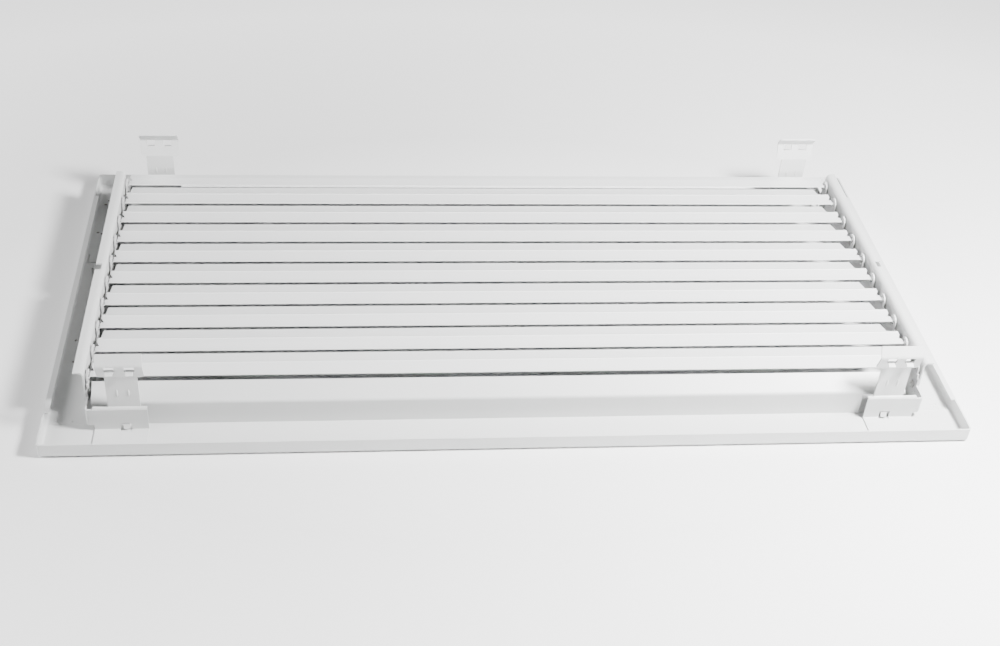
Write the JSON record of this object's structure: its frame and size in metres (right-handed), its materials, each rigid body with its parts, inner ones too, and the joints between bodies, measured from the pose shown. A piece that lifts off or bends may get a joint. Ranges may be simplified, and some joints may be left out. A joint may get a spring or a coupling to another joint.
{
  "type": "ventilation grille",
  "caption": "Rectangular ventilation grille with a flanged frame, overlapping blades that turn on end lugs, and tall corner brackets.",
  "frame": {"origin": "on the surface the grille lies on, under the middle of the frame", "axes": "+X along the blades, +Y across them away from the viewer of the picture, +Z from the visible face to the back"},
  "size_m": [0.6, 0.313, 0.0615],
  "materials": {
    "white_paint": "satin",
    "bare_steel": "plain"
  },
  "bodies": {
    "frame": {"frame_member_front": "white_paint", "frame_member_back": "white_paint", "frame_member_left": "white_paint", "frame_member_right": "white_paint", "bracket_front_left": "white_paint", "bracket_front_right": "white_paint", "bracket_back_left": "white_paint", "bracket_back_right": "white_paint", "pivot_strip_left": "white_paint", "pivot_strip_right": "white_paint", "strip_rivets": "bare_steel"},
    "blade_01": {"blade_01": "white_paint"},
    "blade_02": {"blade_02": "white_paint"},
    "blade_03": {"blade_03": "white_paint"},
    "blade_04": {"blade_04": "white_paint"},
    "blade_05": {"blade_05": "white_paint"},
    "blade_06": {"blade_06": "white_paint"},
    "blade_07": {"blade_07": "white_paint"},
    "blade_08": {"blade_08": "white_paint"},
    "blade_09": {"blade_09": "white_paint"},
    "blade_10": {"blade_10": "white_paint"}
  },
  "joints": [
    {"name": "blade_01_turn", "type": "hinge", "parent": "frame", "child": "blade_01", "pos_m": [0, 0.1125, 0.029], "axis": [-1, 0, 0], "range_deg": [0, 80]},
    {"name": "blade_02_turn", "type": "hinge", "parent": "frame", "child": "blade_02", "pos_m": [0, 0.0875, 0.029], "axis": [-1, 0, 0], "range_deg": [0, 80]},
    {"name": "blade_03_turn", "type": "hinge", "parent": "frame", "child": "blade_03", "pos_m": [0, 0.0625, 0.029], "axis": [-1, 0, 0], "range_deg": [0, 80]},
    {"name": "blade_04_turn", "type": "hinge", "parent": "frame", "child": "blade_04", "pos_m": [0, 0.0375, 0.029], "axis": [-1, 0, 0], "range_deg": [0, 80]},
    {"name": "blade_05_turn", "type": "hinge", "parent": "frame", "child": "blade_05", "pos_m": [0, 0.0125, 0.029], "axis": [-1, 0, 0], "range_deg": [0, 80]},
    {"name": "blade_06_turn", "type": "hinge", "parent": "frame", "child": "blade_06", "pos_m": [0, -0.0125, 0.029], "axis": [-1, 0, 0], "range_deg": [0, 80]},
    {"name": "blade_07_turn", "type": "hinge", "parent": "frame", "child": "blade_07", "pos_m": [0, -0.0375, 0.029], "axis": [-1, 0, 0], "range_deg": [0, 80]},
    {"name": "blade_08_turn", "type": "hinge", "parent": "frame", "child": "blade_08", "pos_m": [0, -0.0625, 0.029], "axis": [-1, 0, 0], "range_deg": [0, 80]},
    {"name": "blade_09_turn", "type": "hinge", "parent": "frame", "child": "blade_09", "pos_m": [0, -0.0875, 0.029], "axis": [-1, 0, 0], "range_deg": [0, 80]},
    {"name": "blade_10_turn", "type": "hinge", "parent": "frame", "child": "blade_10", "pos_m": [0, -0.1125, 0.029], "axis": [-1, 0, 0], "range_deg": [0, 80]}
  ]
}
